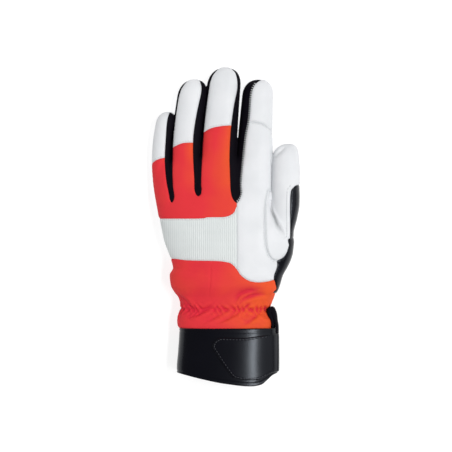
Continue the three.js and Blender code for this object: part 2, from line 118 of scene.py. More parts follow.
# Cuff: at (share of its length down), left and right (of its half width), top (of its height), raised
SLEEVE_ROWS = [
    (0.083, -1.132, 1.318, 1.0, 0),
    (0.188, -1.214, 1.242, 1.02, 0),
    (0.333, -1.184, 1.173, 1.0, 0),
    (0.42, -1.105, 1.121, 0.96, 0),
    (0.507, -1.0, 1.014, 0.91, 0),
    (0.623, -0.966, 0.953, 0.87, 0),
    (0.725, -1.001, 0.888, 0.85, 0),
    (0.841, -1.036, 0.982, 0.93, 0),
    (0.91, -1.03, 0.987, 0.95, 0.1),
    (0.945, -1.0, 0.982, 0.965, 0.5),
    (0.966, -0.935, 0.96, 0.975, 1),
    (1.0, -0.95, 1.045, 0.98, 1),
    (1.2, -0.95, 1.045, 0.98, 1),
]
# Thumb: at (share of its length up), edge (of the hand's half width), inset and wide (of its width), top
THUMB_ROWS = [
    (0, 0.84, 0, 1.0, 1.0),
    (0.19, 0.91, 0, 1.0, 1.02),
    (0.3, 0.961, 0, 1.0, 1.03),
    (0.44, 1.0, 0, 1.0, 1.02),
    (0.6, 1.0, 0, 1.0, 1.0),
    (0.745, 1.0, 0.015, 0.965, 0.96),
    (0.877, 1.0, 0.045, 0.91, 0.9),
    (0.94, 1.0, 0.09, 0.89, 0.88),
    (1.0, 1.0, 0.2, 0.84, 0.86),
]
THUMB_DOME = 0.135  # length of the round tip, as a share of the thumb's length

# Band: at (share of its length down), left and right (of its half width), top (of its height)
BAND_ROWS = [
    (-0.1, -0.98, 0.965, 0.955),
    (0, -0.98, 0.965, 0.965),
    (0.4, -1.005, 0.97, 1.0),
    (0.7, -1.03, 0.975, 1.0),
    (0.88, -1.02, 0.975, 1.0),
    (1.06, -0.99, 0.97, 0.98),
]
# The mouth's edge: across (share of the band's half width), at (share of its length)
MOUTH = [
    (-1.1, 0.765), (-0.95, 0.79), (-0.5, 0.88), (-0.06, 0.955), (0.45, 1.0),
    (0.64, 0.975), (0.77, 0.89), (0.88, 0.81), (1.1, 0.75),
]
# The closing tab's outline, in the same shares as the mouth's edge
TAB = [
    (1.3, 0.05), (0.9, 0.085), (0.6, 0.115), (0.26, 0.145), (-0.12, 0.14), (-0.22, 0.165), (-0.29, 0.225),
    (-0.315, 0.29), (-0.29, 0.35), (-0.22, 0.45), (-0.08, 0.64), (0.04, 0.785), (0.1, 0.84), (0.19, 0.868),
    (0.36, 0.885), (0.64, 0.87), (0.86, 0.76), (1.3, 0.73),
]

# Strips between the fingers: the finger on either side with its seam (share of the finger's length, share
# of its half width), and the round lower end on the hand from right to left
STRIPS = {
    "little": (
        ("little", [(0, 0.48), (0.25, 0.43), (0.58, 0.4), (0.85, 0.2), (1.0, 0.2)]),
        ("ring", [(1.0, -0.45), (0.95, -0.68), (0.88, -0.87), (0.75, -0.93), (0.4, -0.955), (0, -0.86)]),
        [(0.195, -0.643), (0.243, -0.653), (0.275, -0.687), (0.24, -0.72), (0.18, -0.735)],
    ),
    "ring": (
        ("ring", [(0, 0.69), (0.25, 0.56), (0.45, 0.49), (0.67, 0.56), (0.89, 0.64), (1.0, 0.35)]),
        ("middle", [(1.0, -0.35), (0.96, -0.6), (0.9, -0.8), (0.78, -0.89), (0.42, -0.94), (0, -0.86)]),
        [(0.11, -0.182), (0.17, -0.193), (0.198, -0.236), (0.17, -0.28), (0.11, -0.303)],
    ),
    "middle": (
        (
            "middle",
            [(0, 0.73), (0.2, 0.65), (0.44, 0.64), (0.65, 0.73), (0.82, 0.86), (0.94, 0.68), (1.0, 0.3)],
        ),
        ("index", [(1.0, 0.2), (0.95, -0.2), (0.85, -0.42), (0.6, -0.43), (0.4, -0.56), (0, -0.64)]),
        [(0.16, 0.5), (0.235, 0.465), (0.277, 0.41), (0.23, 0.344), (0.14, 0.31)],
    ),
}
INDEX_EDGE = STRIPS["middle"][1][1]
BESIDE_INDEX = STRIPS["middle"][2][:3]  # the half of that strip's end that lies against the index panel
# The caps' seams from left to right: share of the finger's length, share of its half width
CAP_SEAMS = {
    "little": [(0.24, -1.2), (0.296, -0.47), (0.324, 0.38), (0.33, 1.15)],
    "ring": [(0.31, -1.12), (0.351, -0.52), (0.366, -0.1), (0.369, 0.49), (0.37, 1.07)],
    "middle": [(0.41, -1.07), (0.448, -0.65), (0.465, -0.31), (0.478, 0.25), (0.485, 1.07)],
    "index": [(0.585, -1.1), (0.577, -0.43), (0.554, 0.39), (0.503, 0.9), (0.46, 1.35)],
}
# Seams on the hand: at (share of its length down), across (of its half width)
KNUCKLE_SEAM = [
    (0.471, -1.4), (0.47, -0.285), (0.455, -0.074), (0.451, 0.175),
    (0.435, 0.281), (0.399, 0.359), (0.349, 0.393), (0.293, 0.413),
]
WRIST_SEAM = [
    (0.95, -1.4), (0.959, -0.699), (0.976, -0.439), (0.983, 0.021), (0.99, 0.175), (1.015, 0.314),
    (1.08, 0.407), (1.159, 0.483), (1.22, 0.606), (1.244, 0.76), (1.232, 0.944), (1.216, 1.039),
    (1.271, 1.071), (1.326, 1.085), (1.384, 1.068), (1.4, 1.6),
]
THUMB_SEAM = [
    (-0.55, 1.0), (0.09, 1.0), (0.13, 0.945), (0.366, 0.89), (0.768, 0.899),
    (0.935, 0.975), (0.983, 1.093), (0.951, 1.178), (0.898, 1.243), (0.805, 1.292),
]
STRIP_SEAM = [
    (0.707, 1.313), (0.61, 1.318), (0.305, 1.313), (0.146, 1.325), (0.1, 1.363), (0.061, 1.45), (0.05, 1.7),
]
HEEL_SEAM = [
    (0.707, 1.7), (0.707, 1.313), (0.805, 1.292), (0.898, 1.243), (0.951, 1.178), (0.983, 1.093),
    (1.022, 1.096), (1.077, 1.083), (1.154, 1.044), (1.216, 1.039),
]
# Folds on the hand and on the sleeve: depth, width of the steep side and width of the gentle side in
# millimetres, then points down and across as shares
FOLDS = {
    "hand": [
        (2.9, 0.8, 1.7, [(0.27, 0.99), (0.33, 1.0), (0.39, 1.017), (0.51, 1.088), (0.64, 1.186), (0.69, 1.2)]),
        (0.8, 0.8, 1.6, [(0.5, 1.05), (0.58, 1.1), (0.67, 1.165)]),
        (1.7, 0.8, 2.4, [(-0.27, 1.035), (-0.34, 1.14), (-0.41, 1.24)]),
    ],
    "sleeve": [
        (0.45, 0.6, 0.9, [(0.0, -0.312), (0.26, -0.334), (0.507, -0.367)]),
        (1.15, 1.1, 3.6, [(0.69, -0.351), (0.746, -0.562), (0.811, -0.87)]),
        (1.2, 1.1, 4.0, [(0.69, 0.35), (0.797, 0.09), (0.885, -0.23)]),
        (1.1, 1.3, 4.2, [(0.7, 0.757), (0.811, 0.589), (0.905, 0.37)]),
        (0.8, 1.0, 2.8, [(0.72, -0.04), (0.811, -0.28), (0.872, -0.5)]),
        (1.8, 1.2, 3.4, [(0.4, 0.645), (0.427, 0.437), (0.476, 0.29), (0.58, 0.185)]),
        (1.5, 1.4, 3.0, [(0.463, 0.915), (0.478, 0.633), (0.536, 0.372), (0.64, 0.24)]),
        (1.3, 1.0, 2.4, [(0.585, 0.52), (0.66, 0.4)]),
        (1.5, 1.1, 3.0, [(0.47, -1.01), (0.546, -0.873), (0.64, -0.72)]),
        (1.3, 1.0, 2.4, [(0.591, -0.908), (0.649, -0.751), (0.715, -0.62)]),
    ],
}


def smooth_curve(places, values):
    """A monotone cubic through the given values, as a function of the place."""
    order = np.argsort(places)
    x, y = np.asarray(places, float)[order], np.asarray(values, float)[order]
    gap = np.diff(x)
    slope = np.diff(y) / gap
    tangent = np.zeros_like(y)
    tangent[0], tangent[-1] = slope[0], slope[-1]
    for i in range(1, len(x) - 1):
        if slope[i - 1] * slope[i] > 0:
            a, b = 2 * gap[i] + gap[i - 1], gap[i] + 2 * gap[i - 1]
            tangent[i] = (a + b) / (a / slope[i - 1] + b / slope[i])

    def value(place):
        p = np.clip(place, x[0], x[-1])
        i = np.clip(np.searchsorted(x, p) - 1, 0, len(x) - 2)
        t = (p - x[i]) / gap[i]
        return (
            y[i] * (1 + 2 * t) * (1 - t) ** 2
            + tangent[i] * gap[i] * t * (1 - t) ** 2
            + y[i + 1] * t * t * (3 - 2 * t)
            + tangent[i + 1] * gap[i] * t * t * (t - 1)
        )

    return value


def section_curves(rows):
    """Curves of left, right, top and floor along y, from rows of (y, left, right, top, floor)."""
    rows = np.array(rows)
    return [smooth_curve(rows[:, 0], rows[:, k]) for k in range(1, 5)]


def sections(rows, start, length, centre, half, height):
    """Rows of (y, left, right, top, floor) in millimetres, from rows of shares."""
    return [
        (start - at * length, centre + lo * half, centre + hi * half, top * height, FLOOR * sum(raised))
        for at, lo, hi, top, *raised in rows
    ]


HAND_CURVES = section_curves(
    sections(HAND_ROWS, 0.0, HAND_LENGTH, 0.0, HAND_HALF, HAND_HEIGHT)
    + sections(SLEEVE_ROWS, -HAND_LENGTH, SLEEVE_LENGTH, SLEEVE_SHIFT, SLEEVE_WIDTH / 2, SLEEVE_HEIGHT)
)
THUMB_CURVES = section_curves(
    [
        (
            -THUMB_ROOT * HAND_LENGTH + at * THUMB_LENGTH,
            edge * HAND_HALF + THUMB_CLEARANCE + inset * THUMB_WIDTH,
            edge * HAND_HALF + THUMB_CLEARANCE + (inset + wide) * THUMB_WIDTH,
            top * THUMB_HEIGHT,
            0.0,
        )
        for at, edge, inset, wide, top in THUMB_ROWS
    ]
)
BAND_CURVES = section_curves(
    sections(BAND_ROWS, BAND_START, BAND_LENGTH, BAND_CENTRE, BAND_WIDTH / 2, BAND_HEIGHT)
)


def finger_centre(f, t):
    return f["root"] + f["length"] * (f["lean"] * t + f["bow"] * 4 * t * (1 - t))


def finger_spread(f, t):
    return f["width"] / 2 * (1 + (f["taper"] - 1) * np.clip(t / TAPER_END, 0, 1))


def section_heights(top, floor):
    """Height of a section's widest line, and how far the section would reach below it if it weren't flat."""
    waist = floor + (top - floor) * WIDEST
    return waist, waist - floor + (top - floor) * DIP


def section_distance(x, z, lo, hi, top, floor, end):
    """About the distance in millimetres to a tube's wall; end is the way into a round end, in end lengths."""
    middle, half = (lo + hi) / 2, (hi - lo) / 2
    waist, under = section_heights(top, floor)
    reach = np.where(z > waist, top - waist, under)
    u = np.abs(x - middle) / half + 1e-6
    v = np.abs(z - waist) / reach + 1e-6
    total = u**BEND + v**BEND + end**BEND
    r = total ** (1 / BEND)
    steep = np.sqrt((u ** (BEND - 1) / half) ** 2 + (v ** (BEND - 1) / reach) ** 2 + (end / half) ** 2)
    steep = np.maximum(steep / r ** (BEND - 1), 0.5 / np.maximum(half, reach))
    return (r - 1) / steep


def round_ends(along, root, root_end, tip, dome):
    """The way into a tube's two round ends, each in its own length."""
    return np.maximum((along - tip + dome) / dome, 0) + np.maximum((root - along) / root_end, 0)


def join_smoothly(a, b, width):
    """The union of two fields, with a fillet of about that width."""
    blend = np.maximum(width - np.abs(a - b), 0) / width
    return np.minimum(a, b) - blend * blend * width / 4


def ease(value, low, high):
    t = np.clip((value - low) / (high - low), 0, 1)
    return t * t * (3 - 2 * t)


def glove_field(x, y, z):
    """Below zero inside the filled glove, from the fingertips to the end tucked into the band."""
    lo, hi, top, ground = (curve(y) for curve in HAND_CURVES)
    end = np.maximum((y + HAND_ROWS[0][0] * HAND_LENGTH) / (HAND_END * HAND_LENGTH), 0)
    body = section_distance(x, z, lo, hi, top, ground, end)
    fingers = None
    for f in FINGERS.values():
        t = y / f["length"]
        centre, half = finger_centre(f, np.clip(t, -FINGER_ROOT, 1)), finger_spread(f, t) + TOUCH
        tall = f["height"] * (1 - FINGER_DROP * np.clip(t, 0, 1))
        end = round_ends(y, -FINGER_ROOT * f["length"], ROOT_END, f["length"], f["dome"] * f["width"])
        one = section_distance(x, z, centre - half, centre + half, tall, 0.0, end)
        fingers = one if fingers is None else join_smoothly(fingers, one, FINGER_FILLET)
    least, more = HAND_FILLET
    body = join_smoothly(body, fingers, least + more * ease(HAND_HALF - np.abs(x), 2.0, 12.0))
    lo, hi, top, floor = (curve(y) for curve in THUMB_CURVES)
    along = y + THUMB_ROOT * HAND_LENGTH
    end = round_ends(along, 0, THUMB_ROOT_END, THUMB_LENGTH, THUMB_DOME * THUMB_LENGTH)
    thumb = section_distance(x, z, lo, hi, top, floor, end)
    least, more = THUMB_FILLET
    body = join_smoothly(body, thumb, least + more * ease(-y, -CROTCH - 2, -CROTCH + 26))
    resting = np.minimum(z - ground, REST_DEPTH)
    return -join_smoothly(-body, resting, REST_FILLET)


def surface_net(field, start, step):
    """Vertices and quads of the field's zero surface on a regular grid."""
    shape = np.array(field.shape)
    total = np.zeros((*(shape - 1), 3), np.float32)
    count = np.zeros(shape - 1, np.int8)
    crossings = []
    for axis in range(3):
        lower = [slice(None)] * 3
        upper = [slice(None)] * 3
        lower[axis], upper[axis] = slice(0, -1), slice(1, None)
        a, b = field[tuple(lower)], field[tuple(upper)]
        at = np.argwhere((a < 0) != (b < 0))
        va, vb = a[tuple(at.T)], b[tuple(at.T)]
        point = at.astype(np.float32)
        point[:, axis] += va / (va - vb)
        others = [k for k in range(3) if k != axis]
        inner = np.all((at[:, others] > 0) & (at[:, others] < shape[others] - 1), axis=1)
        at, point, rising = at[inner], point[inner], (va < 0)[inner]
        cells = {}
        for da, db in ((0, 0), (0, 1), (1, 0), (1, 1)):
            cell = at.copy()
            cell[:, others[0]] -= da
            cell[:, others[1]] -= db
            cells[da, db] = tuple(cell.T)
            np.add.at(total, cells[da, db], point)
            np.add.at(count, cells[da, db], 1)
        crossings.append((axis, cells, rising))
    index = np.full(count.shape, -1, np.int64)
    used = count > 0
    index[used] = np.arange(used.sum())
    points = total[used] / count[used][:, None] * step + start
    quads = []
    for axis, cells, rising in crossings:
        quad = np.stack([index[cells[corner]] for corner in ((1, 1), (0, 1), (0, 0), (1, 0))], 1)
        flip = rising if axis != 1 else ~rising
        quad[~flip] = quad[~flip][:, ::-1]
        quads.append(quad)
    return points, np.concatenate(quads)


def slopes(points, width=0.05):
    """The glove field and its gradient at points."""
    at = [points[:, k] for k in range(3)]
    centre = glove_field(*at)
    gradient = np.empty_like(points)
    for k in range(3):
        ahead, behind = list(at), list(at)
        ahead[k] = at[k] + width
        behind[k] = at[k] - width
        gradient[:, k] = (glove_field(*ahead) - glove_field(*behind)) / (2 * width)
    return centre, gradient


class Cloth:
    """A triangle mesh with a normal for each vertex."""

    def __init__(self, points, normals, faces):
        used, inverse = np.unique(faces, return_inverse=True)
        self.points = points[used]
        self.normals = normals[used]
        self.faces = inverse.reshape(-1, 3)

    def rim(self):
        """Directed boundary edges."""
        f = self.faces
        edges = np.concatenate([f[:, [0, 1]], f[:, [1, 2]], f[:, [2, 0]]])
        size = len(self.points)
        key = edges[:, 0] * size + edges[:, 1]
        back = edges[:, 1] * size + edges[:, 0]
        return edges[~np.isin(key, back)]


def unit(vectors):
    return vectors / np.maximum(np.linalg.norm(vectors, axis=1), 1e-9)[:, None]


def outward(points, normals, quads):
    """Two triangles for each quad, turned to face the way the normals do."""
    faces = np.concatenate([quads[:, [0, 1, 2]], quads[:, [0, 2, 3]]])
    a, b, c = (points[faces[:, k]] for k in range(3))
    facing = np.einsum("ij,ij->i", np.cross(b - a, c - a), normals[faces[:, 0]])
    return faces[:, ::-1] if np.median(facing) < 0 else faces


def glove_surface():
    """The whole outer surface of the glove, before it is cut into panels."""
    low = np.array([-HAND_HALF - 5, BAND_START - TUCK - 4, -2.0])
    high = np.array([HAND_HALF + THUMB_WIDTH + 4, FINGERS["middle"]["length"] + 3, HAND_HEIGHT + 4])
    counts = ((high - low) / STEP).astype(int) + 1
    axes = [low[k] + STEP * np.arange(counts[k]) for k in range(3)]
    field = glove_field(axes[0][:, None, None], axes[1][None, :, None], axes[2][None, None, :])
    points, quads = surface_net(field.astype(np.float32), low, STEP)
    points = points.astype(float)
    for _ in range(3):
        value, gradient = slopes(points)
        size = np.maximum((gradient**2).sum(1), 0.2)
        move = -(value / size)[:, None] * gradient
        points += np.clip(move, -0.5, 0.5)
    normals = unit(slopes(points, 0.4)[1])
    whole = Cloth(points, normals, outward(points, normals, quads))
    return split(whole, whole.points[:, 1] - (BAND_START - TUCK), None)[1]


def split(cloth, value, nearest):
    """Cuts cloth where value is zero, into the part below zero and the rest.
    nearest holds the closest point in plan on the cut; vertices close to it move onto it."""
    points = cloth.points.copy()
    value = value.copy()
    if nearest is not None:
        close = (np.abs(value) < 0.3 * STEP) & (np.abs(cloth.normals[:, 2]) > 0.35)
        points[close, :2] = nearest[close]
        value[close] = 0
    sign = np.sign(value).astype(int)
    faces = cloth.faces
    s = sign[faces]
    crossing = (s.max(1) > 0) & (s.min(1) < 0)
    whole = faces[~crossing]
    outer = s[~crossing].max(1) > 0
    below, above = [whole[~outer]], [whole[outer]]
    f, s = faces[crossing], s[crossing]
    pivot = np.where((s == 0).any(1), np.argmax(s == 0, 1), np.argmax(s == -np.sign(s.sum(1))[:, None], 1))
    row = np.arange(len(f))
    f = np.stack([f[row, (pivot + k) % 3] for k in range(3)], 1)
    s = np.stack([s[row, (pivot + k) % 3] for k in range(3)], 1)
    through = s[:, 0] == 0
    pairs = np.concatenate([f[~through][:, [0, 1]], f[~through][:, [0, 2]], f[through][:, [1, 2]]])
    ordered = np.sort(pairs, 1)
    size = len(points)
    keys, inverse = np.unique(ordered[:, 0] * size + ordered[:, 1], return_inverse=True)
    a, b = keys // size, keys % size
    t = (value[a] / (value[a] - value[b]))[:, None]
    points = np.concatenate([points, points[a] * (1 - t) + points[b] * t])
    normals = np.concatenate([cloth.normals, unit(cloth.normals[a] * (1 - t) + cloth.normals[b] * t)])
    new = size + inverse.ravel()
    lone = f[~through]
    n = len(lone)
    ab, ac = new[:n], new[n : 2 * n]
    tip = np.stack([lone[:, 0], ab, ac], 1)
    base = np.concatenate([np.stack([ab, lone[:, 1], lone[:, 2]], 1), np.stack([ab, lone[:, 2], ac], 1)])
    tip_above = s[~through][:, 0] > 0
    above += [tip[tip_above], base[np.tile(~tip_above, 2)]]
    below += [tip[~tip_above], base[np.tile(tip_above, 2)]]
    fan, m = f[through], new[2 * n :]
    first, second = np.stack([fan[:, 0], fan[:, 1], m], 1), np.stack([fan[:, 0], m, fan[:, 2]], 1)
    first_above = s[through][:, 1] > 0
    above += [first[first_above], second[~first_above]]
    below += [first[~first_above], second[first_above]]
    return Cloth(points, normals, np.concatenate(below)), Cloth(points, normals, np.concatenate(above))


def spline(points, per_span=10):
    """A smooth line through plan points."""
    p = np.array(points, float)
    p = np.concatenate([2 * p[:1] - p[1:2], p, 2 * p[-1:] - p[-2:-1]])
    t = np.linspace(0, 1, per_span, endpoint=False)[:, None]
    line = []
    for a, b, c, d in zip(p[:-3], p[1:-2], p[2:-1], p[3:]):
        square, cube = 2 * a - 5 * b + 4 * c - d, 3 * b - a - 3 * c + d
        line.append(0.5 * (2 * b + (c - a) * t + square * t**2 + cube * t**3))
    return np.concatenate([*line, p[-2:-1]])


def line_distance(points, line):
    """Distance in plan to a line, the closest points on it, how far along it they are (0 to 1), the side."""
    best = np.full(len(points), 1e9)
    closest = np.zeros((len(points), 2))
    along, side = np.zeros(len(points)), np.zeros(len(points))
    p = points[:, :2]
    walked = np.concatenate([[0], np.cumsum(np.linalg.norm(np.diff(line, axis=0), axis=1))])
    for i, (a, b) in enumerate(zip(line[:-1], line[1:])):
        edge = b - a
        length = edge @ edge
        if length < 1e-12:
            continue
        t = np.clip((p - a) @ edge / length, 0, 1)
        foot = a + t[:, None] * edge
        off = p - foot
        gap = np.sqrt((off**2).sum(1))
        nearer = gap < best
        best[nearer] = gap[nearer]
        closest[nearer] = foot[nearer]
        along[nearer] = ((walked[i] + t * (walked[i + 1] - walked[i])) / walked[-1])[nearer]
        side[nearer] = np.sign(edge[0] * off[:, 1] - edge[1] * off[:, 0])[nearer]
    return best, closest, along, side


def plan_distance(points, outline):
    """Signed distance in plan to a closed outline, below zero inside, and the closest points on it."""
    inside = np.zeros(len(points), bool)
    x, y = points[:, 0], points[:, 1]
    for a, b in zip(outline, np.roll(outline, -1, axis=0)):
        if a[1] != b[1]:
            crosses = (a[1] > y) != (b[1] > y)
            inside ^= crosses & (x < a[0] + (y - a[1]) / (b[1] - a[1]) * (b[0] - a[0]))
    gap, closest, _, _ = line_distance(points, np.concatenate([outline, outline[:1]]))
    return np.where(inside, -1, 1) * gap, closest


def on_hand(row):
    at, across = row
    return np.array([across * HAND_HALF, -at * HAND_LENGTH])


def on_sleeve(row):
    at, across = row
    return np.array([SLEEVE_SHIFT + across * SLEEVE_WIDTH / 2, -HAND_LENGTH - at * SLEEVE_LENGTH])


def on_finger(name, row):
    f, (t, across) = FINGERS[name], row
    return np.array([finger_centre(f, t) + across * finger_spread(f, t), t * f["length"]])


def on_band(row):
    across, at = row
    return np.array([BAND_CENTRE + across * BAND_WIDTH / 2, BAND_START - at * BAND_LENGTH])


def hand_line(rows):
    return spline([on_hand(row) for row in rows])


def finger_line(name, rows):
    return spline([on_finger(name, row) for row in rows])


def outline_of(*parts):
    return np.concatenate([np.atleast_2d(part) for part in parts])


def cut_out(cloth, outline):
    return split(cloth, *plan_distance(cloth.points, outline))


# Corners of a strip's outline past the fingertips: share of the length, across
PAST_TIPS = {"left": (1.08, 0.5), "longer": (1.06, -1.1), "shorter": (1.1, 0.1)}


def strip_outline(left, right, end):
    (left_name, left_seam), (right_name, right_seam) = left, right
    up = spline([*(on_hand(row) for row in end), *(on_finger(left_name, row) for row in left_seam)])
    down = spline([*(on_finger(right_name, row) for row in right_seam), on_hand(end[0])])
    longer = FINGERS[right_name]["length"] > FINGERS[left_name]["length"]
    over = PAST_TIPS["longer" if longer else "shorter"]
    return outline_of(up, on_finger(left_name, PAST_TIPS["left"]), on_finger(right_name, over), down[:-1])


# Corners of a cap's outline past its seam: share of the length, share of the seam's reach across
CAP_SIDES = [(0.6, 1.0), (0.85, 0.9), (1.06, 0.5)]


def cap_outline(name):
    seam = CAP_SEAMS[name]
    left_edge, right_edge = seam[0][1], seam[-1][1]
    right = [on_finger(name, (t, right_edge * share)) for t, share in CAP_SIDES]
    left = [on_finger(name, (t, left_edge * share**0.3)) for t, share in CAP_SIDES]
    return outline_of(finger_line(name, seam), *right, *reversed(left))


FAR, BELOW = 3.0, 1.6  # past the glove's sides, and below the wrist's seam, as shares


def cut_panels(surface):
    """The glove's panels by name, in the same order as the pattern is cut."""
    panels = {}
    wrist = outline_of(hand_line(WRIST_SEAM), on_hand((-FAR, FAR)), on_hand((-FAR, -FAR)))
    rest, panels["sleeve"] = cut_out(surface, wrist)
    heel = [on_hand((BELOW, HEEL_SEAM[-1][1])), on_hand((BELOW, HEEL_SEAM[0][1]))]
    panels["heel_gusset"], rest = cut_out(rest, outline_of(hand_line(HEEL_SEAM), *heel))
    panels["thumb_strip"], rest = cut_out(rest, outline_of(hand_line(STRIP_SEAM), on_hand(HEEL_SEAM[0])))
    corners = [STRIP_SEAM[0], (STRIP_SEAM[0][0], FAR), (THUMB_SEAM[0][0], FAR)]
    thumb = outline_of(hand_line(THUMB_SEAM), *(on_hand(corner) for corner in corners))
    panels["thumb"], rest = cut_out(rest, thumb)
    panels["palm"], rest = split(rest, rest.points[:, 2] - PALM_RISE, None)
    for name, strip in STRIPS.items():
        panels[name + "_fourchette"], rest = cut_out(rest, strip_outline(*strip))
    for name in FINGERS:
        panels[name + "_cap"], rest = cut_out(rest, cap_outline(name))
    between = [on_finger("index", (t, -1.02)) for t in (0.8, 0.5, 0.2, 0)]
    knuckle_left, knuckle_right = KNUCKLE_SEAM[0][1], KNUCKLE_SEAM[-1][1]
    corners = [*BESIDE_INDEX, (BELOW, knuckle_right), (BELOW, FAR), (-0.8, FAR)]
    panels["index_panel"], rest = cut_out(rest, outline_of(*between, *(on_hand(c) for c in corners)))
    under = [on_hand((BELOW, knuckle_right)), on_hand((BELOW, knuckle_left))]
    panels["rib_band"], panels["knuckle_panel"] = cut_out(rest, outline_of(hand_line(KNUCKLE_SEAM), *under))
    return panels


def to_frame(points):
    return (np.asarray(points) + SHIFT) * MM


def add_object(name, data):
    obj = bpy.data.objects.new(name, data)
    bpy.context.scene.collection.objects.link(obj)
    return obj


def add_piece(name, points, faces, look, *nodes):
    """A smooth piece that rides on the glove and stands for its nodes; look holds its material, and a name that
    is not used here.
    Faces are an array, or a list where they differ in size."""
    if isinstance(faces, list):
        sizes = np.array([len(face) for face in faces])
        loops = np.concatenate([np.asarray(face) for face in faces])
    else:
        sizes, loops = np.full(len(faces), faces.shape[1]), faces.ravel()
    starts = np.concatenate([[0], np.cumsum(sizes)[:-1]])
    mesh = bpy.data.meshes.new(name)
    mesh.vertices.add(len(points))
    mesh.vertices.foreach_set("co", to_frame(points).ravel())
    mesh.loops.add(len(loops))
    mesh.loops.foreach_set("vertex_index", loops.astype(np.int32))
    mesh.polygons.add(len(sizes))
    mesh.polygons.foreach_set("loop_start", starts.astype(np.int32))
    mesh.polygons.foreach_set("use_smooth", np.ones(len(sizes), bool))
    mesh.update(calc_edges=True)
    mesh.validate()
    material, slot = look
    mesh.materials.append(material)
    obj = add_object(name, mesh)
    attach(obj, "root")
    if nodes:
        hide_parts(*nodes)
    return obj


# Materials


class Nodes:
    """Short calls for building a material's nodes."""

    def __init__(self, name, color, roughness, specular, **sockets):
        self.material = bpy.data.materials.new(name)
        self.material.use_nodes = True
        self.tree = self.material.node_tree
        self.shader = self.tree.nodes["Principled BSDF"]
        plain = {"Base Color": (*color, 1), "Roughness": roughness, "Specular IOR Level": specular}
        self.feed(self.shader, {**plain, **sockets})
        self.place = self.add("ShaderNodeTexCoord").outputs["Object"]

    def feed(self, node, inputs):
        """Links each input to a socket, or sets it to a value."""
        for key, value in inputs.items():
            if isinstance(value, bpy.types.NodeSocket):
                self.tree.links.new(value, node.inputs[key])
            else:
                node.inputs[key].default_value = value

    def add(self, kind, inputs=None, **settings):
        node = self.tree.nodes.new(kind)
        for key, value in settings.items():
            setattr(node, key, value)
        self.feed(node, inputs or {})
        return node

    def marked(self, name):
        """The values that mark() keeps on a panel's points."""
        return self.add("ShaderNodeAttribute", attribute_name=name).outputs["Fac"]

    def noise(self, scale, detail=2.0, roughness=0.5):
        settings = {"Vector": self.place, "Scale": scale, "Detail": detail, "Roughness": roughness}
        return self.add("ShaderNodeTexNoise", settings).outputs["Fac"]

    def cells(self, scale):
        settings = {"Vector": self.place, "Scale": scale}
        return self.add("ShaderNodeTexVoronoi", settings).outputs["Distance"]

    def wave(self, pitch, direction, distortion=0.0):
        """Lines across X or Y, or aslant, one each pitch in millimetres."""
        settings = {"Vector": self.place, "Scale": 0.3142 / (pitch * MM), "Distortion": distortion}
        settings["Detail Scale"] = 2.0
        return self.add("ShaderNodeTexWave", settings, bands_direction=direction).outputs["Fac"]

    def ramp(self, value, low, high, start=0.0, end=1.0):
        settings = {"Value": value, "From Min": start, "From Max": end, "To Min": low, "To Max": high}
        return self.add("ShaderNodeMapRange", settings).outputs["Result"]

    def mix(self, factor, a, b):
        """One colour turning into another; each is a socket or three numbers."""
        node = self.add("ShaderNodeMix", {"Factor": factor}, data_type="RGBA")
        for key, value in (("A", a), ("B", b)):
            socket = next(s for s in node.inputs if s.name == key and s.type == "RGBA")
            if isinstance(value, bpy.types.NodeSocket):
                self.tree.links.new(value, socket)
            else:
                socket.default_value = (*value, 1)
        return next(s for s in node.outputs if s.type == "RGBA")

    def math(self, operation, a, b):
        return self.add("ShaderNodeMath", {0: a, 1: b}, operation=operation).outputs[0]

    def bump(self, *layers):
        """Layers of (height, strength, distance in millimetres), one on another."""
        below = {}
        for height, strength, distance in layers:
            inputs = {"Height": height, "Strength": strength, "Distance": distance * MM}
            below = {"Normal": self.add("ShaderNodeBump", {**inputs, **below}).outputs["Normal"]}
        self.feed(self.shader, below)

    def color(self, socket):
        self.feed(self.shader, {"Base Color": socket})

    def rough(self, socket):
        self.feed(self.shader, {"Roughness": socket})


def shade(color, share):
    return tuple(c * share for c in color)


def leather(name, light, dark, rough, grain, specular, **sockets):
    n = Nodes(name, light, rough, specular, **sockets)
    # worn is uneven wear; the seam mark darkens the leather beside its seams: partly soil, partly painted
    # shade.
    worn, seam = n.ramp(n.noise(38.0, 3.0), 0, 0.7, 0.35, 0.8), n.ramp(n.marked("seam"), 0, 1, 0.1, 1)
    plain = n.mix(n.math("MAXIMUM", worn, seam), light, dark)
    # painted shade: the fold mark darkens the leather in its creases
    n.color(n.mix(n.marked("fold"), plain, shade(dark, 0.35)))
    pores = n.cells(1100.0)
    creases = n.noise(420.0, 4.0, 0.6)
    n.rough(n.ramp(creases, rough - 0.14 * grain, rough + 0.16 * grain, 0.3, 0.7))
    n.bump((pores, 0.35 * grain, 0.12), (creases, 0.4 * grain, 0.25), (n.noise(90.0, 3.0), 0.35 * grain, 0.6))
    return n.material, name


def woven(name, plain, painted_lit_side, painted_crease_shade, rough, pitch, strength, specular):
    """Plain cloth with a painted lit colour, lighter and more orange, where it turns to the thumb side, the lit
    side, and painted shade in its creases.
    """
    n = Nodes(name, plain, rough, specular)
    uneven = n.ramp(n.noise(30.0, 2.0), -0.16, 0.16, 0.3, 0.7)
    threads = n.math("MAXIMUM", n.wave(pitch, "X", 0.4), n.wave(pitch, "Y", 0.4))
    # painted light: where the cloth turns to the thumb side, the lit side, it takes the lighter, more orange
    # colour
    lit = n.mix(n.ramp(n.math("ADD", n.marked("painted_light"), uneven), 0, 1, 0.0, 0.8), plain, painted_lit_side)
    # painted shade: the fold mark darkens the cloth in its creases
    lit = n.mix(n.ramp(n.marked("fold"), 0, 0.9, 0.0, 1.0), lit, painted_crease_shade)
    n.color(n.mix(n.ramp(threads, 0.14, 0.0), lit, shade(plain, 0.55)))
    n.rough(n.ramp(n.noise(700.0), rough - 0.05, rough + 0.08))
    n.bump((threads, 0.3 * strength, 0.15), (n.noise(300.0, 3.0), 0.3 * strength, 0.3))
    return n.material, name


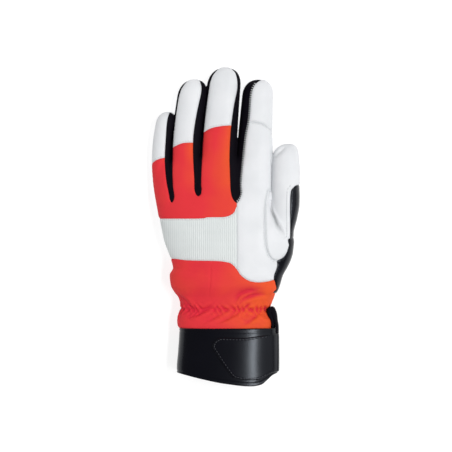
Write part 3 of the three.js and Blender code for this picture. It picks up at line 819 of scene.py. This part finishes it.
def knit(name, light, dark, rough, pitch, specular):
    n = Nodes(name, light, rough, specular, **{"Sheen Weight": 0.15, "Sheen Roughness": 0.5})
    ribs = n.wave(pitch, "X", 0.25)
    loops = n.wave(pitch * 0.55, "Y", 0.6)
    # painted shade: the valleys between the ribs are coloured darker, unevenly
    depth = n.math("MULTIPLY", n.ramp(ribs, 0.7, 0, 0.0, 0.6), n.ramp(n.noise(26.0, 2.0), 0.5, 1.0, 0.3, 0.7))
    n.color(n.mix(depth, light, dark))
    n.bump((ribs, 0.6, 0.4), (loops, 0.4, 0.2), (n.noise(160.0, 3.0), 0.2, 0.3))
    return n.material, name


def thread(name, color):
    n = Nodes(name, color, 0.6, 0.3)
    n.color(n.mix(n.noise(900.0), color, shade(color, 0.8)))
    n.bump((n.wave(0.35, "DIAGONAL"), 0.4, 0.1))
    return n.material


# Looks, from tones, roughness, grain or weave, and specular
BLACK = (0.003, 0.002, 0.005)
WHITE = leather("white_leather", (0.76, 0.77, 0.79), (0.65, 0.67, 0.69), 0.55, 0.5, 0.35)
BLACK_LEATHER = leather(
    "black_leather", (0.0013, 0.0011, 0.003), (0.0026, 0.0022, 0.0052), 0.25, 0.06, 0.29,
    **{"Specular Tint": (0.84, 0.91, 1.0, 1)},
)
# The orange cloth: its plain colour, a painted lit colour for the thumb side, and painted crease shade
ORANGE = woven(
    "orange_cloth", (0.75, 0.034, 0.044), (0.79, 0.088, 0.022), (0.66, 0.018, 0.046), 0.75, 0.6, 0.8, 0.2
)
BLACK_CLOTH = woven("black_cloth", BLACK, (0.004, 0.003, 0.006), BLACK, 0.8, 0.7, 1.0, 0.1)
KNIT = knit("white_knit", (0.73, 0.765, 0.76), (0.6, 0.645, 0.64), 0.85, 1.8, 0.2)
WHITE_THREAD = thread("white_thread", (0.72, 0.74, 0.75))
GREY_THREAD = thread("grey_thread", (0.42, 0.44, 0.46))
DARK_THREAD = thread("dark_thread", (0.036, 0.036, 0.044))


# Panels of cloth and leather


def waves(points, seed, length, count=7):
    """Soft uneven swells of about that length, from -1 to 1."""
    rng = np.random.default_rng(seed)
    total = np.zeros(len(points))
    for _ in range(count):
        direction = rng.normal(size=3)
        direction *= 2 * np.pi / (length * rng.uniform(0.75, 1.5)) / np.linalg.norm(direction)
        total += np.sin(points @ direction + rng.uniform(0, 6.3))
    return total / math.sqrt(count / 2) / 1.8


def bell(value, width):
    """One at zero, falling to nothing over about twice the width."""
    return np.exp(-((value / width) ** 2))


def seam_distance(cloth):
    """Distance from each point to the cloth's rim."""
    rim = np.unique(cloth.rim())
    tree = KDTree(len(rim))
    for i, point in enumerate(cloth.points[rim]):
        tree.insert(point, i)
    tree.balance()
    return np.array([tree.find(point)[2] for point in cloth.points])


ELASTIC = 0.681  # the gathered row, as a share of the sleeve's length
PUCKER = 6.2  # millimetres from one gather to the next
ROUND = 34.0  # millimetres round the sleeve for each radian
PINCH, PINCH_WIDTH = 1.2, 2.2  # depth and width of the pinched row
GATHER, GATHER_WIDTH = 0.95, 4.4
# Soft folds beside the row: millimetres below it, their reach and height, shares of the way round and
# of the way along that they follow, and the distance from one to the next
FLUTES = [(7.0, 6.0, 0.7, 0.6, 1.0, 8.5), (-12.0, 8.0, 0.6, 0.5, -0.3, 11.0)]


def sleeve_relief(points, normals):
    """The pinched elastic row, its gathers, and soft folds all round the sleeve, in millimetres."""
    x, y, z = points.T
    row = -HAND_LENGTH - y - ELASTIC * SLEEVE_LENGTH
    angle = np.arctan2(z - SLEEVE_HEIGHT * WIDEST, (x - SLEEVE_SHIFT) * 0.45)
    turn = angle * ROUND + 1.6 * np.sin(angle * 10.5) + 1.1 * np.sin(angle * 4.4 + 1.0)
    patches = 0.5 + 0.5 * waves(points, 3, 13.0)
    falling = np.sin((turn + 0.9 * row) * 2 * np.pi / PUCKER)
    rising = np.sin((turn - 0.9 * row) * 2 * np.pi / PUCKER + 1.5)
    gathers = falling * patches + rising * (1 - patches)
    out = -PINCH * bell(row, PINCH_WIDTH) + GATHER * bell(row, GATHER_WIDTH) * gathers
    soft = 0
    for below, reach, height, around, down, pitch in FLUTES:
        flute = np.sin((turn * around + row * down) * 2 * np.pi / pitch) ** 3
        soft = soft + height * (bell(row - below, reach) * flute)
    round_sides = 1 - 0.7 * ease(normals[:, 2], 0.1, 0.7)
    return out + round_sides * soft + 0.35 * waves(points, 5, 24.0)


LIP = 0.35  # height of the ridge on a fold's steep side, as a share of its depth


def folds(points, normals, where, place_on):
    """The single folds on the upper side, each deepest along its middle."""
    total = np.zeros(len(points))
    for depth, steep, gentle, rows in FOLDS[where]:
        off, _, along, side = line_distance(points, spline([place_on(row) for row in rows]))
        fade = np.sin(np.pi * np.clip(along, 0.04, 0.96)) ** 0.6
        width = np.where(side > 0, steep, gentle)
        total -= depth * fade * np.exp(-((off / width) ** 1.4))
        total += LIP * depth * fade * bell(off - 2.2 * steep, 1.3 * steep) * (side > 0)
    return total * ease(normals[:, 2], 0.0, 0.45)


# Each panel's look, how far it stands above its seams, and how far it swells unevenly, in millimetres
PANELS = {
    "palm": (WHITE, 0.5, 0.35),
    "thumb": (WHITE, 0.7, 0.35),
    "thumb_strip": (BLACK_LEATHER, 0.1, 0.15),
    "heel_gusset": (BLACK_LEATHER, 0.1, 0.15),
    "knuckle_panel": (ORANGE, 0.45, 0.3),
    "rib_band": (KNIT, 0.3, 0.25),
    "index_panel": (WHITE, 0.7, 0.35),
    "sleeve": (ORANGE, 0.7, 0.15),
    **{name + "_cap": (WHITE, 0.6, 0.15) for name in FINGERS},
    **{name + "_fourchette": (BLACK_CLOTH, -0.35, 0.15) for name in STRIPS},
}
GROOVE, GROOVE_WIDTH = 0.34, 0.9  # depth and width of a seam
FILLED = 4.0  # distance from the seam at which a panel stands up fully
RIPPLE, RIPPLE_WIDTH = 0.16, 3.0  # the fine ripples beside a seam
RIPPLE_PITCH = np.array([2.1, 1.7, 1.2])  # radians for each millimetre


def relief(name, cloth, gap):
    """How far each point of a panel moves out of the plain surface, and its folds' share of that.
    gap is the point's distance to the seam."""
    points = cloth.points
    _, puff, swell = PANELS[name]
    away = 1 - np.exp(-gap / GROOVE_WIDTH)
    out = -GROOVE * bell(gap, GROOVE_WIDTH)
    out += away * puff * (0.6 + 0.4 * (1 - bell(gap, FILLED)))
    out += away * RIPPLE * bell(gap, RIPPLE_WIDTH) * np.sin(points @ RIPPLE_PITCH)
    out += swell * waves(points, 11, 19.0) * (1 - bell(gap, 6.0))
    ruffles = np.zeros(len(points))
    if name == "sleeve":
        tucked = ease(points[:, 1], BAND_START - 1, BAND_START + 5)
        ruffles = sleeve_relief(points, cloth.normals) + folds(points, cloth.normals, "sleeve", on_sleeve)
        ruffles *= ease(gap, 0, 5.0) * tucked
    if name in ("thumb", "index_panel"):
        ruffles = folds(points, cloth.normals, "hand", on_hand)
    return out + ruffles, ruffles


def closed_faces(cloth):
    """The cloth's faces, the same faces on its inner side, and the edge between them."""
    rim, size = cloth.rim(), len(cloth.points)
    there, back = rim.T
    edge = [np.stack([back, there, there + size], 1), np.stack([back, there + size, back + size], 1)]
    return np.concatenate([cloth.faces, cloth.faces[:, ::-1] + size, *edge])


def grid_faces(rows, columns, closed):
    r, c = np.meshgrid(np.arange(rows - 1), np.arange(columns if closed else columns - 1), indexing="ij")
    a = r * columns + c
    b = r * columns + (c + 1) % columns
    return np.stack([a, b, b + columns, a + columns], -1).reshape(-1, 4)


def surface_tree(points, faces):
    return BVHTree.FromPolygons(points.tolist(), faces.tolist())


# Depth at which a crease's painted shade is full, and how much the painted shade keeps to the crease's middle
CREASE_SHADE = {"orange_cloth": (1.6, 1), "white_leather": (2.6, 3)}
SEAM_SOIL_AND_SHADE = 1.6  # how far the darkening beside a seam reaches, in millimetres: partly soil, partly painted shade
PAINTED_LIGHT_GAIN, PAINTED_LIGHT_LEVEL = 1.8, 0.2  # how the painted light grows with the turn to the thumb side, the lit side, and its value where level
BLURRED = 40  # rounds of averaging that blur the painted light on the cloth


def blur(values, faces):
    """Values averaged again and again with their neighbours'."""
    a, b = faces.ravel(), np.roll(faces, 1, axis=1).ravel()
    count = np.bincount(a, minlength=len(values)) + np.bincount(b, minlength=len(values))
    for _ in range(BLURRED):
        total = np.bincount(a, values[b], len(values)) + np.bincount(b, values[a], len(values))
        values = (values + total / count) / 2
    return values


def mark(obj, name, outer):
    """Keeps a value for each point of a panel's outer face and of its inner face, for the materials."""
    attribute = obj.data.attributes.new(name, "FLOAT", "POINT")
    attribute.data.foreach_set("value", np.concatenate([outer, outer]).astype(np.float32))


def make_panels():
    """Closed panels in the scene, and a search tree of each one's outer face."""
    trees = {}
    for name, cloth in cut_panels(glove_surface()).items():
        gap = seam_distance(cloth)
        out, ruffles = relief(name, cloth, gap)
        outer = cloth.points + cloth.normals * out[:, None]
        outer[:, 2] = np.maximum(outer[:, 2], 0.0)
        inner = cloth.points - cloth.normals * CLOTH
        inner[:, 2] = np.maximum(inner[:, 2], CLOTH * 0.6)
        look = PANELS[name][0]
        panel = add_piece(name + "_cloth", np.concatenate([outer, inner]), closed_faces(cloth), look, name)
        # painted light: how far each point takes the lit colour, from how far it turns to the thumb side
        painted_lit_side = PAINTED_LIGHT_GAIN * blur(cloth.normals[:, 0], cloth.faces) + PAINTED_LIGHT_LEVEL
        deep, power = CREASE_SHADE.get(look[1], (1, 1))
        # darkening beside the seams: partly soil, partly painted shade
        mark(panel, "seam", np.exp(-gap / SEAM_SOIL_AND_SHADE))
        mark(panel, "painted_light", np.clip(painted_lit_side, 0, 1))
        # painted shade: the fold mark, deepest in the creases and folds
        mark(panel, "fold", np.clip(-ruffles / deep, 0, 1) ** power)
        trees[name] = surface_tree(outer, cloth.faces)
    return trees


# Band, tab and pull loop


def rounded(value, power):
    return np.sign(value) * np.abs(value) ** power


def band_ring(y, angle, grow=0.0):
    """A point of the band's outer wall at a place along it and an angle round it."""
    lo, hi, top, floor = (curve(y) for curve in BAND_CURVES)
    middle, half = (lo + hi) / 2, (hi - lo) / 2
    waist, under = section_heights(top, floor)
    c, s = np.cos(angle), np.sin(angle)
    x = middle + rounded(c, 2 / BEND) * (half + grow)
    z = waist + rounded(s, 2 / BEND) * (np.where(s > 0, top - waist, under) + grow)
    return np.stack([x, y + 0 * x, np.maximum(z, 0.0)], -1)


mouth_curve = smooth_curve([across for across, _ in MOUTH], [at for _, at in MOUTH])


def band_walls(down, angle):
    """Points of the band's wall; down runs from 0 at the sleeve to 1 at the mouth's edge."""
    y = BAND_START - down * BAND_LENGTH * 0.9
    for _ in range(2):
        across = (band_ring(y, angle)[..., 0] - BAND_CENTRE) / (BAND_WIDTH / 2)
        y = BAND_START - down * BAND_LENGTH * mouth_curve(across)
    return band_ring(y, angle)


def section_normals(steps):
    """Outward normals in the section's plane, from the steps along its outline."""
    return unit(np.stack([steps[..., 2], 0 * steps[..., 0], -steps[..., 0]], -1).reshape(-1, 3))


def ring_normals(rings):
    return section_normals(np.roll(rings, -1, axis=1) - np.roll(rings, 1, axis=1))


BAND_THICK = 1.6
BAND_HEM = 2.6 / BAND_LENGTH  # from the mouth's edge to the dent of its seam
BAND_TOP_SEAM = 0.05  # the dent at the sleeve, as a share of the band's length
MOUTH_ROUND = 0.015  # the rounded edge of the mouth, as a share of the band's length
TOP_ROUND = 0.02


def make_band():
    columns, rows = 300, 70
    angle = 2 * np.pi * np.arange(columns) / columns
    # The wall's profile: down the outside, round the mouth's edge, up the inside, over the top edge
    turn = np.linspace(0, np.pi, 7)[1:-1]
    low, half = 1 - MOUTH_ROUND, BAND_THICK / 2
    profile = [(down, 0.0) for down in np.linspace(0, low, rows)]
    profile += [(low + MOUTH_ROUND * math.sin(a), -half * (1 - math.cos(a))) for a in turn]
    profile += [(down, -BAND_THICK) for down in np.linspace(low, 0, rows // 2)]
    profile += [(-TOP_ROUND * math.sin(a), -half * (1 + math.cos(a))) for a in turn]
    walls = [band_walls(np.full(columns, down), angle) for down, _ in profile]
    rings = np.array([ring + ring_normals(ring[None]) * depth for ring, (_, depth) in zip(walls, profile)])
    points = rings.reshape(-1, 3)
    down, depth = (np.repeat(values, columns) for values in zip(*profile))
    skin = depth > -0.1
    dent = 0.35 * bell((1 - down - BAND_HEM) * BAND_LENGTH, 0.6) * skin
    dent += 0.3 * bell((down - BAND_TOP_SEAM) * BAND_LENGTH, 0.7) * skin
    swell = 0.12 * waves(points, 21, 34.0) * skin * np.sin(np.pi * np.clip(down, 0, 1)) ** 0.5
    points = points + ring_normals(rings) * (swell - dent)[:, None]
    points[:, 2] = np.maximum(points[:, 2], np.where(skin, 0.0, BAND_THICK * 0.7))
    faces = grid_faces(len(profile) + 1, columns, True) % len(points)
    add_piece("band_leather", points, faces, BLACK_LEATHER, "cuff_band")


TAB_THICK = 1.6
TAB_LIFT = 0.35  # from the band to the tab's inner face
TAB_HEM = 1.5  # from the tab's edge to its stitches
TAB_FOLD = 0.95  # where the tab is creased, as a share of the band's half width


def make_tab():
    """The closing tab: a sheet over the band's back and round its thumb side."""
    columns, rows = 260, 150
    angle = np.linspace(-0.42, 2.3, columns)
    lows = np.linspace(BAND_START + 1.5, BAND_START - BAND_LENGTH * 0.95, rows)
    rings = np.array([band_ring(np.full(columns, y), angle, TAB_LIFT) for y in lows])
    points, normals = rings.reshape(-1, 3), section_normals(np.gradient(rings, axis=1))
    sheet = Cloth(points, normals, outward(points, normals, grid_faces(rows, columns, False)))
    tab, _ = cut_out(sheet, spline([on_band(row) for row in TAB], 8))
    gap = seam_distance(tab)
    lift = TAB_THICK - 0.5 * bell(gap, 0.5) - 0.15 * bell(gap - TAB_HEM, 0.5)
    fold = tab.points[:, 0] - (BAND_CENTRE + TAB_FOLD * BAND_WIDTH / 2)
    lift += 0.5 * bell(fold, 0.7) - 0.4 * bell(fold - 1.6, 0.8)
    lift += 0.06 * waves(tab.points, 33, 30.0) * ease(gap, 0, 8)
    outer = tab.points + tab.normals * lift[:, None]
    both = np.concatenate([outer, tab.points])
    add_piece("tab_leather", both, closed_faces(tab), BLACK_LEATHER, "strap_tab")
    return surface_tree(outer, tab.faces)


LOOP_WIDTH, LOOP_HEIGHT, LOOP_THICK = 11.0, 18.75, 2.6
LOOP_FOLD = 1.8  # how much thicker the tape is where it is folded over
LOOP_TILT = -0.12  # how far the tape leans over its height
# The tape's middle line: up (from the band) and left (of the band's edge), shares of the loop's height
LOOP_LINE = [
    (-0.45, 0.09), (-0.12, 0.09), (0.166, 0.1), (0.445, 0.155), (0.7, 0.22), (0.92, 0.31), (0.9, 0.4),
    (0.75, 0.425), (0.59, 0.36), (0.4, 0.29), (0.166, 0.27), (-0.12, 0.27),
]


def make_loop():
    right = BAND_CENTRE + BAND_WIDTH / 2
    line = spline([(right - left * LOOP_HEIGHT, BAND_START + up * LOOP_HEIGHT) for up, left in LOOP_LINE], 6)
    along = unit(np.gradient(line, axis=0))
    across = np.stack([along[:, 1], -along[:, 0]], 1)
    sides = 20
    turn = 2 * np.pi * np.arange(sides) / sides
    tall = rounded(np.sin(turn), 0.35) * LOOP_WIDTH / 2
    middle = BAND_HEIGHT * WIDEST
    rings = []
    for p, n in zip(line, across):
        up = (p[1] - BAND_START) / LOOP_HEIGHT
        flat = rounded(np.cos(turn), 0.5) * (LOOP_THICK + LOOP_FOLD * ease(up, 0.3, 0.75)) / 2
        rings.append(np.stack([p[0] + n[0] * flat + LOOP_TILT * tall, p[1] + n[1] * flat, middle + tall], 1))
    points = np.concatenate(rings)
    faces = grid_faces(len(rings), sides, True).tolist()
    faces += [list(range(sides))[::-1], [len(points) - sides + k for k in range(sides)]]
    add_piece("loop_tape", points, faces, BLACK_CLOTH, "pull_loop")


# Stitches

STITCH_SIDES = 6
STITCH_PROFILE = [(0.0, 0.25), (0.12, 0.8), (0.35, 1.0), (0.65, 1.0), (0.88, 0.8), (1.0, 0.25)]
ABOVE = 60.0  # a height over the whole glove
STEEPEST = 0.12  # how far up the surface has to face under a stitch


def topmost(trees, spot):
    """The highest point of the surfaces at a place in plan, and the normal there."""
    hits = [tree.ray_cast(Vector((*spot, ABOVE)), Vector((0, 0, -1)))[:2] for tree in trees]
    return max((hit for hit in hits if hit[0] is not None), key=lambda hit: hit[0].z, default=None)


def sew(name, trees, line, aside, pitch, length, thick, look, keep=(0.0, 1.0), over=False):
    """One row of stitches beside a plan line; a positive aside is to the left of its direction.
    The threads run along the line, or across it where over is set."""
    steps = np.linalg.norm(np.diff(line, axis=0), axis=1)
    walked = np.concatenate([[0], np.cumsum(steps)])
    rows = len(STITCH_PROFILE)
    points, faces = [], []
    for walk in np.arange(walked[-1] * keep[0] + pitch / 2, walked[-1] * keep[1], pitch):
        i = min(np.searchsorted(walked, walk) - 1, len(steps) - 1)
        along = (line[i + 1] - line[i]) / max(steps[i], 1e-6)
        beside = np.array([-along[1], along[0]])
        middle = line[i] + along * (walk - walked[i]) + aside * beside
        half = (beside if over else along) * length / 2
        hits = [topmost(trees, middle - half), topmost(trees, middle + half)]
        if any(hit is None or hit[1].z < STEEPEST for hit in hits) or abs(hits[0][0].z - hits[1][0].z) > length:
            continue
        a, b = (np.array(hit[0]) for hit in hits)
        up = unit((np.array(hits[0][1]) + np.array(hits[1][1]))[None])[0]
        run = unit((b - a)[None])[0]
        across = np.cross(run, up)
        start = len(points)
        for t, wide in STITCH_PROFILE:
            centre = a + (b - a) * t + up * thick * (0.25 * math.sin(math.pi * t) - 0.1)
            for k in range(STITCH_SIDES):
                turn = 2 * math.pi * k / STITCH_SIDES
                points.append(centre + wide * thick / 2 * (across * math.cos(turn) + up * math.sin(turn)))
        faces += (grid_faces(rows, STITCH_SIDES, True) + start).tolist()
        faces.append([start + k for k in range(STITCH_SIDES)][::-1])
        faces.append([start + (rows - 1) * STITCH_SIDES + k for k in range(STITCH_SIDES)])
    add_piece(name + "_stitches", np.array(points), faces, look)


def sew_all(trees):
    on_leather, on_knit = (WHITE_THREAD, "white_leather"), (WHITE_THREAD, "white_knit")
    on_strip, on_tab = (GREY_THREAD, "white_leather"), (DARK_THREAD, "black_leather")
    for name in FINGERS:
        cap = finger_line(name, CAP_SEAMS[name])
        sew(name + "_cap", [trees[name + "_cap"]], cap, 1.5, 2.3, 1.6, 0.55, on_leather)
    index, thumb, ribs = [trees["index_panel"]], [trees["thumb"]], [trees["rib_band"]]
    edge = spline([*(on_finger("index", row) for row in INDEX_EDGE), *(on_hand(row) for row in BESIDE_INDEX)])
    beside_edge = [trees["middle_fourchette"], trees["index_cap"], trees["index_panel"]]
    side, wrist = hand_line(THUMB_SEAM), hand_line(WRIST_SEAM[:12])
    tab = spline([on_band(row) for row in TAB[1:-1]])
    sew("index_cross", index, cap, -1.4, 2.3, 1.6, 0.55, on_leather)
    sew("index_edge", beside_edge, edge, -0.5, 2.0, 1.9, 0.85, on_leather, over=True)
    sew("thumb_side", thumb, side, 1.3, 2.4, 1.6, 0.55, on_leather, (0.3, 0.97))
    sew("index_side", index, side, -1.3, 2.4, 1.6, 0.55, on_leather, (0.3, 0.97))
    sew("thumb_strip", thumb, hand_line(STRIP_SEAM[:5]), 3.3, 2.4, 1.5, 0.55, on_strip)
    sew("knuckle", ribs, hand_line(KNUCKLE_SEAM), -1.3, 2.0, 1.4, 0.45, on_knit)
    sew("rib_wrist", ribs, wrist, 1.3, 2.2, 1.5, 0.45, on_knit)
    sew("index_wrist", index, wrist, 1.3, 2.2, 1.5, 0.5, on_leather)
    sew("tab", [trees["tab"]], tab, TAB_HEM, 2.8, 1.9, 0.8, on_tab, (0.05, 0.95))


sew_all({**make_panels(), "tab": make_tab()})
make_band()
make_loop()


# Floor, light and camera

VIEW_WIDTH = 452 * 0.88  # millimetres across the picture
LENS, SENSOR = 180.0, 36.0
FAR_CLIP = 20  # metres
FLOOR_HALF = 3.0  # metres
AIM = (0, 0, 0.02)  # where the lights point, on the glove
LIGHTS = {  # place and size in metres, power in watts, and whether the leather reflects it
    "strip": ((1.24, -0.1, 2.62), (2.4, 0.36), 58.0, True),
    "right_softbox": ((2.4, 0.4, 1.7), (3.0, 2.6), 16.0, True),
    "left_softbox": ((-2.25, 0.5, 1.5), (3.4, 3.0), 25.0, False),
    "back_softbox": ((-0.2, 2.25, 1.8), (2.6, 1.8), 13.0, False),
    "front_softbox": ((0.5, -2.25, 1.8), (2.6, 1.8), 8.0, False),
}


def make_floor():
    half = FLOOR_HALF
    mesh = bpy.data.meshes.new("floor")
    corners = [(-half, -half, 0), (half, -half, 0), (half, half, 0), (-half, half, 0)]
    mesh.from_pydata(corners, [], [(0, 1, 2, 3)])
    n = Nodes("floor", (0.3, 0.3, 0.3), 0.9, 0.0, **{"Emission Color": (1, 1, 1, 1), "Emission Strength": 0.8})
    n.color(n.mix(n.noise(3.0), (0.31, 0.31, 0.31), (0.29, 0.29, 0.29)))
    mesh.materials.append(n.material)
    floor = add_object("floor", mesh)


def add_light(name, spot, size, power, glossy):
    light = bpy.data.lights.new(name, "AREA")
    light.shape = "RECTANGLE"
    light.size, light.size_y = size
    light.energy = power
    obj = add_object(name, light)
    obj.visible_glossy = glossy
    obj.location = spot
    obj.rotation_euler = (Vector(AIM) - Vector(spot)).to_track_quat("-Z", "Y").to_euler()


def make_stage():
    make_floor()
    world = bpy.data.worlds.new("studio")
    world.use_nodes = True
    background = world.node_tree.nodes["Background"]
    background.inputs["Color"].default_value = (1, 1, 1, 1)
    background.inputs["Strength"].default_value = 0.18
    bpy.context.scene.world = world
    for name, light in LIGHTS.items():
        add_light(name, *light)
    bpy.context.scene.view_settings.view_transform = "Standard"


def make_camera():
    camera = bpy.data.cameras.new("camera")
    camera.lens = LENS
    camera.sensor_width = SENSOR
    camera.clip_end = FAR_CLIP
    obj = add_object("camera", camera)
    distance = VIEW_WIDTH * LENS / SENSOR * MM
    obj.location = (0, 0, distance + HAND_HEIGHT * WIDEST * MM)
    bpy.context.scene.camera = obj


make_stage()
make_camera()
